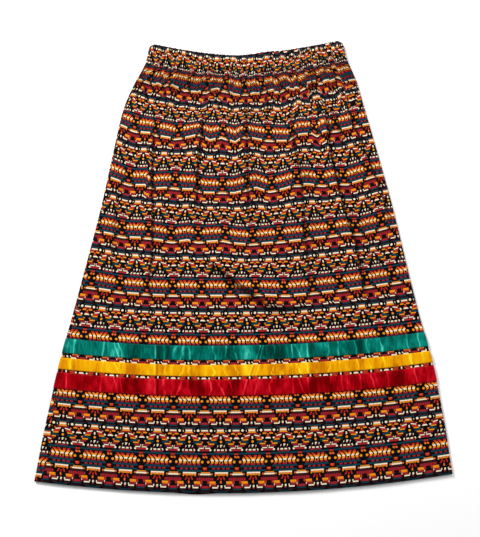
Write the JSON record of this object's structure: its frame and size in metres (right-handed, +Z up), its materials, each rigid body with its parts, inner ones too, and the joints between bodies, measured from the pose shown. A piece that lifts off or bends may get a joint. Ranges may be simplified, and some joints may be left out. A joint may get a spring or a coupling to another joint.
{
  "type": "ribbon skirt, laid flat",
  "caption": "Long A-line gathered cotton skirt with an elastic casing and three satin ribbon bands above the hem, laid flat with its front up.",
  "frame": {"origin": "on the surface that the skirt lies on, in the middle of its length and of its hem width", "axes": "+X across the skirt to the right as its front is seen, +Y from the hem up to the waist, +Z up from the surface"},
  "size_m": [0.796, 0.9482, 0.0085],
  "materials": {
    "printed_cotton": "matte woven cotton with a fine repeat of stepped and fanned motifs in black, teal, crimson, orange, gold and cream",
    "green_satin": "satin ribbon with soft streaks of light",
    "yellow_satin": "satin ribbon with soft streaks of light",
    "red_satin": "satin ribbon with soft streaks of light"
  },
  "bodies": {
    "root": {"front_panel": "printed_cotton", "back_panel": "printed_cotton", "waistband_front": "printed_cotton", "waistband_back": "printed_cotton", "ribbon_green_front": "green_satin", "ribbon_green_back": "green_satin", "ribbon_yellow_front": "yellow_satin", "ribbon_yellow_back": "yellow_satin", "ribbon_red_front": "red_satin", "ribbon_red_back": "red_satin"}
  },
  "joints": []
}
